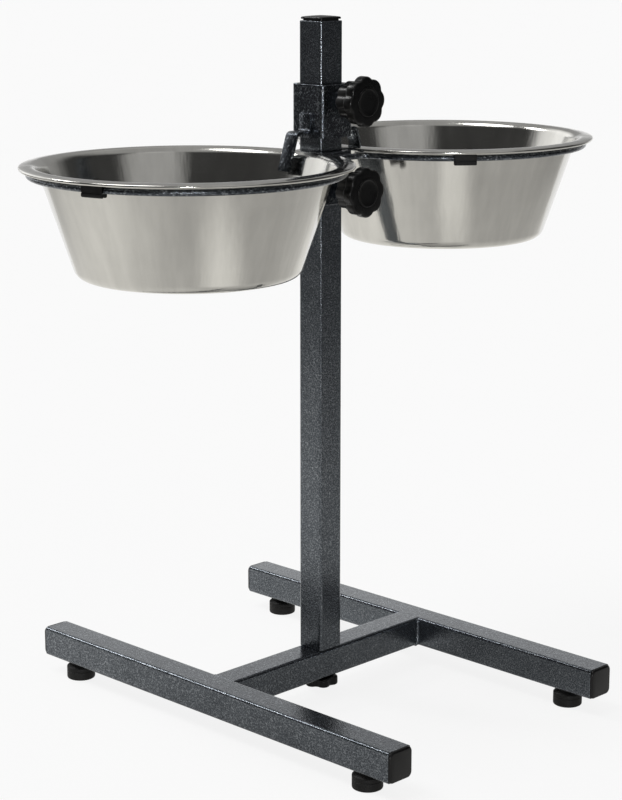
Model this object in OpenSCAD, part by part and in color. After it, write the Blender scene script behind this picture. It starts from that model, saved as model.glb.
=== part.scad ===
// Raised feeder for a dog: two steel bowls hang in a wire frame that slides on a
// square post, and the post stands on an H of square tubes. X runs from bowl to
// bowl, Y along the floor bars with the clamp knobs at -Y, Z up from the floor.

/* [Square tubes] */
// Outer width of the floor bars, the crossbar and the post
tube_w = 25; // [22:1:30]
// Wall of these tubes
tube_wall = 1.5; // [1:0.1:2.5]
// Outer corner radius of these tubes
tube_corner = 2.4; // [1.5:0.1:4]

/* [Base] */
// Length of the tube in a floor bar, without its end caps
bar_len = 402; // [300:1:520]
// Distance between the centre lines of the two floor bars
bar_spacing = 244; // [160:1:320]
// Length of the post above the crossbar
post_len = 520; // [500:1:600]
// Length of the threaded plug in the foot of the post
post_plug_len = 24; // [16:1:40]

/* [Feet] */
// Height from the floor to the underside of a floor bar
foot_h = 15; // [14:0.5:24]
// Diameter of a foot at the floor
foot_d = 24; // [20:1:34]
// Diameter of the neck under the bar
foot_neck_d = 18; // [13:1:19]
// Height of the neck, down to the sloping shoulder
foot_neck_h = 1.5; // [0.5:0.5:4]
// Height of the sloping shoulder
foot_shoulder_h = 3; // [1:0.5:4]
// Chamfer around the lower edge
foot_chamfer = 1; // [0.4:0.2:2]
// Distance from the end of the tube to the axis of a foot
foot_inset = 32; // [24:1:60]
// Diameter of the screw that holds a foot
foot_screw_d = 5; // [4:0.5:6]
// Diameter of that screw's head
foot_screw_head_d = 9; // [8:0.5:11]
// Height of that screw's head
foot_screw_head_h = 3; // [2:0.5:3.5]
// Depth of the head's underside above the floor
foot_screw_recess = 7; // [6:0.5:9]
// How far that screw reaches into the tube
foot_screw_reach = 8; // [5:1:14]

/* [Tube caps] */
// Thickness of a bar end cap outside the tube
end_cap_t = 2.2; // [1.5:0.1:4]
// Rounding around the outer face of a bar end cap
end_cap_round = 1.2; // [0.5:0.1:1.4]
// Length of a cap's plug inside the tube
cap_plug_len = 14; // [8:1:20]
// Wall of a cap's plug
cap_plug_wall = 1.8; // [1.2:0.1:3]
// Width of the lid on the post
post_lid_w = 23.6; // [20:0.1:25]
// Corner radius of that lid
post_lid_corner = 2; // [1:0.1:4]
// Thickness of that lid at its edge
post_lid_t = 1.5; // [1:0.1:3]
// Rise of that lid from its edge to its middle
post_lid_rise = 1.2; // [0.6:0.1:2]
// Gap that shows between the lid and the end of the post
post_lid_gap = 1.3; // [0.8:0.1:3]
// Inset of the shoulder that sits on the end of the post
post_shoulder_inset = 2; // [1.8:0.1:3]

/* [Sleeves] */
// Outer width of both sleeves
sleeve_w = 35; // [33:0.5:42]
// Wall of both sleeves
sleeve_wall = 3; // [2:0.1:3.5]
// Outer corner radius of both sleeves
sleeve_corner = 4; // [3.6:0.1:6]
// Height of both sleeves
sleeve_h = 42; // [36:1:60]
// Height of the lower sleeve's underside above the floor
carrier_z = 416; // [380:1:440]
// Bare post between the two sleeves
sleeve_gap = 11; // [6:1:20]
// Clearance between the post and the sleeve wall that it is clamped against
post_clearance = 0.3; // [0.2:0.1:0.6]
// Distance from a sleeve's end to the axis of its clamp screw
screw_inset = 12; // [10:1:16]

/* [Clamp screws] */
// Diameter of all three knob screws
screw_d = 8; // [6:1:8]
// Radial clearance of a screw in its thread and in its knob
screw_clearance = 0.05; // [0.02:0.01:0.08]
// Radial clearance of a screw in a plain hole
hole_clearance = 0.5; // [0.3:0.1:1]
// Gap between a tightened clamp screw and the post
tip_gap = 0.2; // [0.1:0.1:0.5]
// Width of a weld nut across its flats
nut_af = 13; // [12:0.5:15]
// Height of a weld nut
nut_h = 6.5; // [5:0.5:8]
// Gap between a weld nut and the knob's hub
hub_gap = 5; // [3.5:0.5:8]
// Depth of a screw in a knob of the sleeves
knob_socket = 16; // [10:1:17]

/* [Sleeve knobs] */
// Diameter over the lobes
knob_d = 40; // [36:1:50]
// Number of lobes
knob_lobes = 8; // [6:1:9]
// Radius of a lobe
lobe_r = 8.5; // [7:0.1:9]
// Radius of the hollow between two lobes
hollow_r = 3; // [2.5:0.1:4]
// Turn of the lobes about the screw
knob_turn = 3.5; // [0:0.5:45]
// Thickness of the lobed head
head_t = 10; // [8:0.5:16]
// Rounding around the head's edges
head_round = 2; // [1:0.1:3]
// Rise of the head's sloping face from its edge to the axis
head_crown = 1.2; // [0.6:0.1:2]
// Diameter of the hub over its lobes
hub_d = 31; // [26:1:34]
// Radius of a lobe on the hub
hub_lobe_r = 6.5; // [5:0.1:7]
// Length of the hub behind the head
hub_len = 12; // [8:1:20]
// Diameter of the cap in the knob's face
knob_cap_d = 23; // [16:1:26]
// Depth of that cap's seat below the crown
knob_cap_seat = 2.2; // [2:0.1:3.5]
// How far that cap stands above its seat
knob_cap_t = 2; // [1.4:0.1:3]
// Clearance around that cap
knob_cap_clearance = 0.1; // [0.05:0.05:0.3]

/* [Base knob] */
// Diameter over the lobes
base_knob_d = 30; // [26:1:40]
// Number of lobes
base_knob_lobes = 6; // [5:1:6]
// Radius of a lobe
base_lobe_r = 5.5; // [4.5:0.1:6]
// Thickness of the lobed head
base_head_t = 7.5; // [6:0.5:8.5]
// Rounding around the head's edges
base_head_round = 1.4; // [0.8:0.1:2]
// Diameter of the boss between the head and the crossbar
base_boss_d = 16; // [13:1:20]
// Height of that boss
base_boss_h = 1; // [0.5:0.1:2]
// Depth of the screw in the base knob
base_socket = 6; // [4:0.5:6.5]
// How far that screw reaches into the plug of the post
base_screw_reach = 15; // [10:1:15]

/* [Bowl frame] */
// Diameter of the bent wire
wire_d = 5; // [4:0.5:7]
// Depth of the wire's axis below the top of the lower sleeve
wire_drop = 5; // [4:0.5:9]
// Inner radius of the four bends beside the sleeve
wire_bend = 6.5; // [5:0.5:10]
// Length of the weld on each side of the sleeve
weld_len = 24; // [16:1:26]
// Height of that weld
weld_h = 3; // [2:0.5:4]
// Clear distance between a bowl's mouth and the wire around it
ring_clearance = 3.5; // [2.8:0.1:6]
// Distance between a bowl's rim and the side of the lower sleeve
rim_clearance = 0.8; // [0.5:0.1:4]

/* [Rubber clips] */
// Length of a clip along the wire
clip_len = 17.5; // [14:0.5:28]
// Rubber at the sides of the wire
clip_side = 1.5; // [1:0.1:2]
// Rubber on top of the wire, which carries the rim
clip_top = 3.5; // [3.2:0.1:5]
// Rubber below the wire
clip_under = 3; // [2:0.5:5]
// Rounding along the lower edges of a clip
clip_round = 1.5; // [0.8:0.1:2]
// Width of the slit through which the wire snaps in
clip_slit = 3; // [2:0.5:3.5]
// Clearance around the wire
clip_clearance = 0.1; // [0.05:0.05:0.2]

/* [Bowls] */
// Diameter of a bowl's mouth
mouth_d = 226; // [190:1:260]
// Height of a bowl
bowl_h = 86; // [70:0.5:110]
// Thickness of the sheet
bowl_wall = 0.8; // [0.6:0.1:1.2]
// Slope of the wall from upright, in degrees
bowl_slope = 18.5; // [12:0.5:24]
// Outer radius where the wall turns into the bottom
bowl_corner = 10; // [6:1:20]
// Outer radius where the wall turns into the rim
mouth_round = 3; // [2:0.5:4]
// Radius of the rolled edge
bead_r = 1.7; // [1.4:0.1:1.8]
// Clearance between the rolled edge and a clip
bead_clearance = 0.6; // [0.4:0.1:2]
// Gap between the rim and the clips that it lies on
rim_gap = 0.02; // [0.01:0.01:0.1]

/* [Bowl lock] */
// Width of a hook strap
hook_w = 12; // [10:1:20]
// Thickness of a hook strap
hook_t = 3; // [2:0.5:4]
// Inner radius of the strap's bends
hook_bend = 2; // [1.5:0.5:4]
// Height of the tab on the sleeve above the strap's bridge
hook_tab_h = 13; // [10:1:20]
// Height of the bridge above the underside of the upper sleeve
hook_bridge_z = 3; // [1:0.5:8]
// Clearance between a hook's leg and the wall of its bowl
hook_clearance = 4; // [3.5:0.1:6]
// Depth of a hook's end below the rim
hook_drop = 16; // [10:1:24]

/* [Hidden] */
$fn = 64;
STEEL_PAINT = "dimgray";
BLACK_PLASTIC = [0.09, 0.09, 0.1];
BLACK_RUBBER = [0.07, 0.07, 0.07];
BARE_STEEL = "silver";
TINY = 0.01;
ARC_STEPS = 8;
JOINT_GAP = 0.2;
JOINT_BEAD = 0.15;

// Base
bar_x = bar_spacing / 2;
bar_z = foot_h;
bar_top = bar_z + tube_w;
post_top = bar_top + post_len;
tube_inner = tube_w - 2 * tube_wall;
tube_inner_corner = max(tube_corner - tube_wall, 0.4);
plug_corner = tube_inner_corner + 1;
foot_y = bar_len / 2 - foot_inset;
crossbar_len = bar_spacing - tube_w;

// Sleeves, pushed to the front by the clamp screws
sleeve_inner = sleeve_w - 2 * sleeve_wall;
sleeve_inner_corner = max(sleeve_corner - sleeve_wall, 0.4);
sleeve_y = tube_w / 2 + post_clearance - sleeve_inner / 2;
sleeve_front = sleeve_y - sleeve_w / 2;
carrier_top = carrier_z + sleeve_h;
lock_z = carrier_top + sleeve_gap;
lock_top = lock_z + sleeve_h;
carrier_screw_z = carrier_z + screw_inset;
lock_screw_z = lock_top - screw_inset;

// Clamp screws, measured forward from the post
screw_tip_y = -tube_w / 2 - tip_gap;
nut_front = sleeve_front - nut_h;
hub_back = nut_front - hub_gap;
knob_len = hub_len + head_t;
sleeve_screw_len = screw_tip_y - hub_back + knob_socket;

// Bowl frame and bowls
wire_z = carrier_top - wire_drop;
wire_r = wire_d / 2;
wire_y = sleeve_w / 2 + wire_r;
mouth_r = mouth_d / 2;
ring_r = mouth_r + ring_clearance + wire_r;
clip_half = wire_r + clip_side;
rim_r = ring_r + clip_half + bead_clearance + 2 * bead_r;
bowl_x = rim_r + sleeve_w / 2 + rim_clearance;
clip_top_z = wire_z + wire_r + clip_top;
clip_bottom_z = wire_z - wire_r - clip_under;
rim_z = clip_top_z + rim_gap + bowl_wall;
bowl_bottom = rim_z - bowl_h;
bend_r = wire_bend + wire_r;
bend_x = bowl_x - sqrt(pow(ring_r + bend_r, 2) - pow(wire_y + bend_r, 2));
bend_angle = asin((wire_y + bend_r) / (ring_r + bend_r));

// Where the clips sit on each ring, in degrees from +X
LEFT_CLIPS = [194, 336, 90];
RIGHT_CLIPS = [230, 350, 110];

// Bowl lock
bridge_z = lock_z + hook_bridge_z;
hook_x = sleeve_w / 2;
mouth_x = bowl_x - mouth_r;
bridge_end = mouth_x + (hook_clearance - hook_bend
             - (bridge_z - hook_bend - rim_z) * sin(bowl_slope)) / cos(bowl_slope);
leg_top_z = bridge_z - hook_bend + hook_bend * sin(bowl_slope);
leg_len = (leg_top_z - rim_z + hook_drop) / cos(bowl_slope);

// Flat outlines

function arc(at, r, a, b) =
    [for (i = [0 : ARC_STEPS]) let (t = a + (b - a) * i / ARC_STEPS) at + r * [cos(t), sin(t)]];

module rounded_square(w, r) {
    square([w, w - 2 * r], center = true);
    square([w - 2 * r, w], center = true);
    for (x = [-1, 1], y = [-1, 1])
        translate([x * (w / 2 - r), y * (w / 2 - r)]) circle(r);
}

module square_ring(w, corner, inner_w, inner_corner) {
    difference() {
        rounded_square(w, corner);
        rounded_square(inner_w, inner_corner);
    }
}

// Lobes and hollows as arcs that run smoothly into each other
module star(d, lobes, lobe, hollow) {
    half = 180 / lobes;
    lobe_at = d / 2 - lobe;
    hollow_at = lobe_at * cos(half) + sqrt(pow(lobe + hollow, 2) - pow(lobe_at * sin(half), 2));
    difference() {
        polygon([for (i = [0 : 2 * lobes - 1])
            let (at = i % 2 == 0 ? lobe_at : hollow_at) [at * cos(i * half), at * sin(i * half)]]);
        for (i = [0 : lobes - 1])
            rotate((2 * i + 1) * half) translate([hollow_at, 0]) circle(hollow);
    }
    for (i = [0 : lobes - 1])
        rotate(2 * i * half) translate([lobe_at, 0]) circle(lobe);
}

// Half of a disc's section with rounded edges, for turning about its axis
module disc_section(r, t, edge) {
    square([r - edge, t]);
    translate([0, edge]) square([r, t - 2 * edge]);
    for (z = [edge, t - edge]) translate([r - edge, z]) circle(edge);
}

// Base

module floor_bar(side) {
    color(STEEL_PAINT)
        difference() {
            translate([side * bar_x, bar_len / 2, bar_z + tube_w / 2]) rotate([90, 0, 0])
                linear_extrude(bar_len) square_ring(tube_w, tube_corner, tube_inner, tube_inner_corner);
            for (y = [-foot_y, foot_y])
                translate([side * bar_x, y, bar_z - TINY])
                    cylinder(d = foot_screw_d, h = tube_wall + 2 * TINY);
        }
}

module crossbar() {
    color(STEEL_PAINT)
        difference() {
            translate([-crossbar_len / 2, 0, bar_z + tube_w / 2]) rotate([90, 0, 90])
                linear_extrude(crossbar_len) square_ring(tube_w, tube_corner, tube_inner, tube_inner_corner);
            translate([0, 0, bar_z - TINY]) cylinder(d = screw_d + 2 * hole_clearance, h = tube_w + 2 * TINY);
        }
}

module post() {
    color(STEEL_PAINT)
        translate([0, 0, bar_top])
            linear_extrude(post_len) square_ring(tube_w, tube_corner, tube_inner, tube_inner_corner);
}

module post_plug() {
    color(BARE_STEEL)
        difference() {
            translate([0, 0, bar_top]) linear_extrude(post_plug_len) rounded_square(tube_inner, plug_corner);
            translate([0, 0, bar_top - TINY])
                cylinder(d = screw_d + 2 * screw_clearance, h = post_plug_len + 2 * TINY);
        }
}

module cap_plug() {
    linear_extrude(cap_plug_len)
        square_ring(tube_inner, plug_corner, tube_inner - 2 * cap_plug_wall, plug_corner / 2);
}

module post_cap() {
    lid_z = post_top + post_lid_gap;
    lid_reach = post_lid_w / sqrt(2);
    dome_r = (pow(lid_reach, 2) + pow(post_lid_rise, 2)) / (2 * post_lid_rise);
    dome_at = [0, post_lid_t + post_lid_rise - dome_r];
    color(BLACK_PLASTIC) {
        translate([0, 0, post_top - cap_plug_len]) cap_plug();
        translate([0, 0, post_top]) linear_extrude(post_lid_gap)
            rounded_square(tube_w - 2 * post_shoulder_inset, plug_corner);
        intersection() {
            translate([0, 0, lid_z]) linear_extrude(post_lid_t + post_lid_rise)
                rounded_square(post_lid_w, post_lid_corner);
            translate([0, 0, lid_z]) rotate_extrude()
                polygon(concat([[0, 0], [lid_reach, 0]], arc(dome_at, dome_r, acos(lid_reach / dome_r), 90)));
        }
    }
}

// A cap whose outer face has a rounded edge made by two crossed round-edged slabs
module end_cap_face() {
    intersection() {
        linear_extrude(end_cap_t) rounded_square(tube_w, tube_corner);
        for_both_ways() translate([0, tube_w / 2, 0]) rotate([90, 0, 0]) linear_extrude(tube_w) {
            translate([-tube_w / 2, 0]) square([tube_w, end_cap_t - end_cap_round]);
            translate([-tube_w / 2 + end_cap_round, 0]) square([tube_w - 2 * end_cap_round, end_cap_t]);
            for (x = [-1, 1])
                translate([x * (tube_w / 2 - end_cap_round), end_cap_t - end_cap_round]) circle(end_cap_round);
        }
    }
}

module for_both_ways() {
    intersection() {
        children();
        rotate([0, 0, 90]) children();
    }
}

// The end cap of a floor bar, facing forward for end = -1 and back for end = 1
module end_cap(side, end) {
    color(BLACK_PLASTIC)
        translate([side * bar_x, end * bar_len / 2, bar_z + tube_w / 2]) rotate([-90 * end, 0, 0]) {
            end_cap_face();
            translate([0, 0, -cap_plug_len]) cap_plug();
        }
}

module foot(side, end) {
    foot_r = foot_d / 2;
    neck_r = foot_neck_d / 2;
    shoulder_z = foot_h - foot_neck_h - foot_shoulder_h;
    color(BLACK_RUBBER)
        translate([side * bar_x, end * foot_y, 0])
            difference() {
                rotate_extrude() polygon([
                    [0, 0], [foot_r - foot_chamfer, 0], [foot_r, foot_chamfer], [foot_r, shoulder_z],
                    [neck_r, foot_h - foot_neck_h], [neck_r, foot_h], [0, foot_h]]);
                translate([0, 0, -TINY]) cylinder(d = foot_screw_d, h = foot_h + 2 * TINY);
                translate([0, 0, -TINY]) cylinder(d = foot_screw_head_d, h = foot_screw_recess + TINY);
            }
}

module foot_screws() {
    color(BARE_STEEL)
        for (side = [-1, 1], end = [-1, 1])
            translate([side * bar_x, end * foot_y, foot_screw_recess - foot_screw_head_h]) {
                cylinder(d = foot_screw_head_d, h = foot_screw_head_h);
                cylinder(d = foot_screw_d,
                         h = foot_screw_head_h + foot_h - foot_screw_recess + foot_screw_reach);
            }
}

// Knob screws and knobs

// A screw along Z with a chamfered tip at its upper end
module screw_shank(len) {
    tip = screw_d / 8;
    rotate_extrude() polygon([
        [0, 0], [screw_d / 2, 0], [screw_d / 2, len - tip], [screw_d / 2 - tip, len], [0, len]]);
}

module base_knob() {
    boss_z = bar_z - base_boss_h;
    color(BLACK_PLASTIC)
        difference() {
            union() {
                translate([0, 0, boss_z]) cylinder(d = base_boss_d, h = base_boss_h);
                intersection() {
                    translate([0, 0, boss_z - base_head_t]) linear_extrude(base_head_t)
                        star(base_knob_d, base_knob_lobes, base_lobe_r, hollow_r);
                    translate([0, 0, boss_z - base_head_t])
                        rotate_extrude() disc_section(base_knob_d / 2, base_head_t, base_head_round);
                }
            }
            translate([0, 0, bar_z - base_socket])
                cylinder(r = screw_d / 2 + screw_clearance, h = base_socket + TINY);
        }
}

module base_screw() {
    color(BARE_STEEL)
        translate([0, 0, bar_z - base_socket]) screw_shank(base_socket + tube_w + base_screw_reach);
}

module weld_nut(z) {
    color(BARE_STEEL)
        translate([0, sleeve_front, z]) rotate([90, 0, 0])
            difference() {
                cylinder(d = nut_af / cos(30), h = nut_h, $fn = 6);
                translate([0, 0, -TINY]) cylinder(r = screw_d / 2 + screw_clearance, h = nut_h + 2 * TINY);
            }
}

module clamp_screw(z) {
    color(BARE_STEEL)
        translate([0, screw_tip_y - sleeve_screw_len, z]) rotate([-90, 0, 0]) screw_shank(sleeve_screw_len);
}

// A knob along Z, from the back of its hub at zero to the crown of its face
module star_knob() {
    head_edge_t = head_t - head_crown;
    face_r = knob_d / 2 - head_round;
    difference() {
        union() {
            linear_extrude(hub_len + TINY) star(hub_d, knob_lobes, hub_lobe_r, hollow_r);
            intersection() {
                translate([0, 0, hub_len]) linear_extrude(head_t)
                    star(knob_d, knob_lobes, lobe_r, hollow_r);
                translate([0, 0, hub_len]) rotate_extrude() {
                    disc_section(knob_d / 2, head_edge_t, head_round);
                    polygon([[0, 0], [face_r, 0], [face_r, head_edge_t], [0, head_t]]);
                }
            }
        }
        translate([0, 0, -TINY]) cylinder(r = screw_d / 2 + screw_clearance, h = knob_socket + TINY);
        translate([0, 0, knob_len - knob_cap_seat])
            cylinder(d = knob_cap_d + 2 * knob_cap_clearance, h = knob_cap_seat + TINY);
    }
}

module sleeve_knob(z) {
    color(BLACK_PLASTIC)
        translate([0, hub_back, z]) rotate([90, 0, 0]) rotate([0, 0, knob_turn]) star_knob();
}

module sleeve_knob_cap(z) {
    edge = knob_cap_t / 4;
    color(BLACK_PLASTIC)
        translate([0, hub_back - knob_len + knob_cap_seat, z]) rotate([90, 0, 0])
            rotate_extrude() disc_section(knob_cap_d / 2, knob_cap_t, edge);
}

// Sleeves

module sleeve(z, screw_z) {
    color(STEEL_PAINT)
        difference() {
            translate([0, sleeve_y, z])
                linear_extrude(sleeve_h) square_ring(sleeve_w, sleeve_corner, sleeve_inner, sleeve_inner_corner);
            translate([0, sleeve_front - TINY, screw_z]) rotate([-90, 0, 0])
                cylinder(d = screw_d + 2 * hole_clearance, h = sleeve_wall + 2 * TINY);
        }
}

// A flat strap: a tab on the sleeve, a bridge over the rim and a leg down inside the bowl
module hook(side) {
    outer = hook_bend + hook_t;
    tab_bend = [hook_x + outer, bridge_z + outer];
    leg_bend = [bridge_end, bridge_z - hook_bend];
    across = [cos(bowl_slope), sin(bowl_slope)];
    along = [sin(bowl_slope), -cos(bowl_slope)];
    leg_end = leg_bend + hook_bend * across + leg_len * along;
    tab_top = bridge_z + hook_t + hook_tab_h;
    color(STEEL_PAINT)
        translate([0, sleeve_y + side * hook_w / 2, 0]) rotate([90, 0, side > 0 ? 0 : 180])
            linear_extrude(hook_w) polygon(concat(
                [[hook_x, tab_top]],
                arc(tab_bend, outer, 180, 270),
                arc(leg_bend, hook_bend, 90, bowl_slope),
                [leg_end, leg_end + hook_t * across],
                arc(leg_bend, outer, bowl_slope, 90),
                arc(tab_bend, hook_bend, 270, 180),
                [[hook_x + hook_t, tab_top]]));
}

// Wire frame, clips and bowls

module wire_ring(side) {
    end_angle = JOINT_GAP / ring_r * 180 / PI;
    start = 180 + bend_angle + end_angle;
    sweep = 360 - 2 * bend_angle - 2 * end_angle;
    mirror([side < 0 ? 1 : 0, 0, 0])
        translate([bowl_x, 0, 0]) rotate([0, 0, start])
            rotate_extrude(angle = sweep) translate([ring_r, 0]) circle(wire_r);
}

// A bend, with a slightly thicker ball at either end that joins it to the next length of wire
module wire_bend_piece() {
    translate([bend_x, -wire_y - bend_r, 0]) rotate([0, 0, bend_angle]) {
        rotate_extrude(angle = 90 - bend_angle) translate([bend_r, 0]) circle(wire_r);
        for (a = [0, 90 - bend_angle]) rotate([0, 0, a]) translate([bend_r, 0, 0]) sphere(wire_r + JOINT_BEAD);
    }
}

// One closed wire, bent around both bowls and welded along both sides of the sleeve
module bowl_frame() {
    color(STEEL_PAINT)
        translate([0, sleeve_y, wire_z]) {
            for (side = [-1, 1]) wire_ring(side);
            for (flip_x = [0, 1], flip_y = [0, 1])
                mirror([flip_x, 0, 0]) mirror([0, flip_y, 0]) wire_bend_piece();
            for (side = [-1, 1]) {
                translate([-bend_x + JOINT_GAP, side * wire_y, 0]) rotate([0, 90, 0])
                    cylinder(r = wire_r, h = 2 * (bend_x - JOINT_GAP));
                translate([0, side * (sleeve_w + wire_r) / 2, 0])
                    cube([weld_len, wire_r, weld_h], center = true);
            }
        }
}

module clip(side, angle) {
    half_angle = clip_len / 2 / ring_r * 180 / PI;
    low = clip_bottom_z - wire_z;
    high = clip_top_z - wire_z;
    color(BLACK_RUBBER)
        translate([side * bowl_x, sleeve_y, wire_z]) rotate([0, 0, angle - half_angle])
            rotate_extrude(angle = 2 * half_angle) translate([ring_r, 0])
                difference() {
                    union() {
                        translate([-clip_half, low + clip_round]) square([2 * clip_half, high - low - clip_round]);
                        translate([-clip_half + clip_round, low]) square([2 * (clip_half - clip_round), high - low]);
                        for (x = [-1, 1])
                            translate([x * (clip_half - clip_round), low + clip_round]) circle(clip_round);
                    }
                    circle(wire_r + clip_clearance);
                    translate([-clip_slit / 2, low - TINY]) square([clip_slit, -low]);
                }
}

// Section of the sheet: bottom, corner, wall, mouth, flat rim and rolled edge
module bowl_section() {
    inner_corner = bowl_corner - bowl_wall;
    inner_round = mouth_round - bowl_wall;
    normal = [cos(bowl_slope), -sin(bowl_slope)];
    mouth_at = [mouth_r + mouth_round * (1 - sin(bowl_slope)) / cos(bowl_slope), bowl_h - mouth_round];
    wall_len = (bowl_h - mouth_round - bowl_corner
               + (mouth_round + inner_corner) * sin(bowl_slope)) / cos(bowl_slope);
    wall_foot = mouth_at - mouth_round * normal - wall_len * [sin(bowl_slope), cos(bowl_slope)];
    corner_at = wall_foot - inner_corner * normal;
    bead_at = [rim_r - bead_r, bowl_h - bead_r];
    bead_end = -180 - asin((bead_r - bowl_wall) / bead_r);

    polygon(concat(
        [[0, bowl_wall]],
        arc(corner_at, inner_corner, -90, -bowl_slope),
        arc(mouth_at, mouth_round, 180 - bowl_slope, 90),
        arc(bead_at, bead_r, 90, bead_end),
        arc(mouth_at, inner_round, 90, 180 - bowl_slope),
        arc(corner_at, bowl_corner, -bowl_slope, -90),
        [[0, 0]]));
}

module bowl(side) {
    color(BARE_STEEL)
        translate([side * bowl_x, sleeve_y, bowl_bottom]) rotate_extrude() bowl_section();
}

floor_bar(-1);  // left_bar
floor_bar(1);  // right_bar
crossbar();
post();
post_plug();
post_cap();
end_cap(-1, -1);  // left_front_cap
end_cap(-1, 1);  // left_rear_cap
end_cap(1, -1);  // right_front_cap
end_cap(1, 1);  // right_rear_cap
foot(-1, -1);  // left_front_foot
foot(-1, 1);  // left_rear_foot
foot(1, -1);  // right_front_foot
foot(1, 1);  // right_rear_foot
foot_screws();
base_knob();
base_screw();
sleeve(carrier_z, carrier_screw_z);  // carrier_sleeve
weld_nut(carrier_screw_z);  // carrier_nut
bowl_frame();
clip(-1, LEFT_CLIPS[0]);  // left_clip_1
clip(-1, LEFT_CLIPS[1]);  // left_clip_2
clip(-1, LEFT_CLIPS[2]);  // left_clip_3
clip(1, RIGHT_CLIPS[0]);  // right_clip_1
clip(1, RIGHT_CLIPS[1]);  // right_clip_2
clip(1, RIGHT_CLIPS[2]);  // right_clip_3
bowl(-1);  // left_bowl
bowl(1);  // right_bowl
clamp_screw(carrier_screw_z);  // carrier_screw
sleeve_knob(carrier_screw_z);  // carrier_knob
sleeve_knob_cap(carrier_screw_z);  // carrier_knob_cap
sleeve(lock_z, lock_screw_z);  // lock_sleeve
weld_nut(lock_screw_z);  // lock_nut
hook(-1);  // left_hook
hook(1);  // right_hook
clamp_screw(lock_screw_z);  // lock_screw
sleeve_knob(lock_screw_z);  // lock_knob
sleeve_knob_cap(lock_screw_z);  // lock_knob_cap
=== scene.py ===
from math import asin, atan2, cos, degrees, dist, pi, radians, sin, sqrt

import bmesh
import bpy
from mathutils import Matrix, Vector


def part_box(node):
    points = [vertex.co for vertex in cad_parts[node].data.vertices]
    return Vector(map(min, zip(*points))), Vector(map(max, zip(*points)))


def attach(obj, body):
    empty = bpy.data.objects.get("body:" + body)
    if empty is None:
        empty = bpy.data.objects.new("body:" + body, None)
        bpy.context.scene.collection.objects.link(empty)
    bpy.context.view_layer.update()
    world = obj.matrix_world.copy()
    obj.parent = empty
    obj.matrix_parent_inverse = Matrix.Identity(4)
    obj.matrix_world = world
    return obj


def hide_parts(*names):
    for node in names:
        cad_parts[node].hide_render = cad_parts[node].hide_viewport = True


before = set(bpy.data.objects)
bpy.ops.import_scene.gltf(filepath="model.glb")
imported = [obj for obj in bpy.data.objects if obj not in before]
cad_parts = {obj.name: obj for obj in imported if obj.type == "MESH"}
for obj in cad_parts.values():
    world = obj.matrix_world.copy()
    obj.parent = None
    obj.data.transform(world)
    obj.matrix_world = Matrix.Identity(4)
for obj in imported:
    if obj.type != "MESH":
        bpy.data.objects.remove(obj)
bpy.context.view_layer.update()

# Sizes of the feeder in millimetres, as in the part's source
TUBE_CORNER = 2.4
TUBE_WALL = 1.5
LEAST_CORNER = 0.4
PLUG_CORNER = 1.9
PLUG_LEN = 14.0
LID_W = 23.6
LID_CORNER = 2.0
LID_T = 1.5
LID_RISE = 1.2
LID_NECK_W = 21.0
SLEEVE_CORNER = 4.0
SLEEVE_WALL = 3.0
SCREW_R = 4.0
HOLE_PLAY = 0.5
NUT_FLAT = 6.5
KNOB_TURN = 3.5
KNOB_SOCKET = 16.0
HUB_LEN = 12.0
HEAD_EDGE = 20.8
HEAD_ROUND = 2.0
BASE_HEAD_ROUND = 1.4
BASE_BOSS_R = 8.0
BASE_BOSS_H = 1.0
BASE_SOCKET = 6.0
WIRE_R = 2.5
RING_R = 119.0
BEND_R = 9.0
CLIP_LEN = 17.5
LEFT_CLIPS = (194, 336, 90)
RIGHT_CLIPS = (230, 350, 110)
MOUTH_R = 113.0
BOWL_WALL = 0.8
BOWL_SLOPE = radians(18.5)
BOWL_CORNER = 10.0
HOOK_T = 3.0
HOOK_BEND = 2.0
HOOK_BRIDGE = 3.0
HOOK_CLEARANCE = 4.0
HOOK_DROP = 16.0

# Parts of the names of nodes
SIDES = ("left", "right")
CLAMPED = ("carrier", "lock")
CORNERS = [side + end for side in SIDES for end in ("_front", "_rear")]

# Lobed outlines, as in the source: reach, number of lobes, radius of a lobe and of a hollow
HUB_STAR = (15.5, 8, 6.5, 3.0)
HEAD_STAR = (20.0, 8, 8.5, 3.0)
BASE_STAR = (15.0, 6, 5.5, 3.0)

# Forms that are finer or rounder here than in the source, in millimetres
EDGE_BREAK = 0.35
CAP_CORNER = 4.4
CAP_ROUND = 1.9
CAP_PLUG_PLAY = 0.2
LID_PLUG_W = 21.6
BORE_R = 4.06
THREAD_PITCH = 1.25
MOUTH_ROUND = 8.0
RIM_FALL = 12.0
BEAD_R = 1.3

# Turned pieces: radius and height
FOOT = [(4.5, 0), (10.5, 0), (11.1, 0.12), (11.7, 0.5), (11.95, 1.1), (12, 1.6), (12, 6.9),
        (11.75, 7.15), (11.75, 7.75), (12, 8.0), (12, 10.1), (11.9, 10.5), (11.55, 10.85),
        (9.35, 13.15), (9.1, 13.35), (9, 13.7), (9, 15), (2.55, 15), (2.55, 7), (4.5, 7)]
FOOT_SCREW = [(0, 4), (3.0, 4), (3.7, 4.12), (4.2, 4.45), (4.45, 4.95), (4.45, 6.98), (2.5, 6.98),
              (2.5, 22.2), (1.8, 23), (0, 23)]
FACE_CAP = [(0, 0), (11.3, 0), (11.5, 0.25), (11.5, 1.25), (11.42, 1.6), (11.2, 1.86), (10.85, 1.98),
            (10.5, 2.0), (10.1, 1.9), (9.7, 1.62), (9.2, 1.5), (6, 1.45), (0, 1.4)]

# Numbers of points round and along the forms
ROUND_STEPS = 96
BOWL_STEPS = 224
FOOT_STEPS = 72
FOOT_SCREW_STEPS = 40
DRILL_STEPS = 48
WIRE_SIDES = 24
RING_STEPS = 260
LOBE_STEPS = 12
HOLLOW_STEPS = 8
THREAD_COLUMNS = 36
THREAD_ROWS = 8


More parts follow.
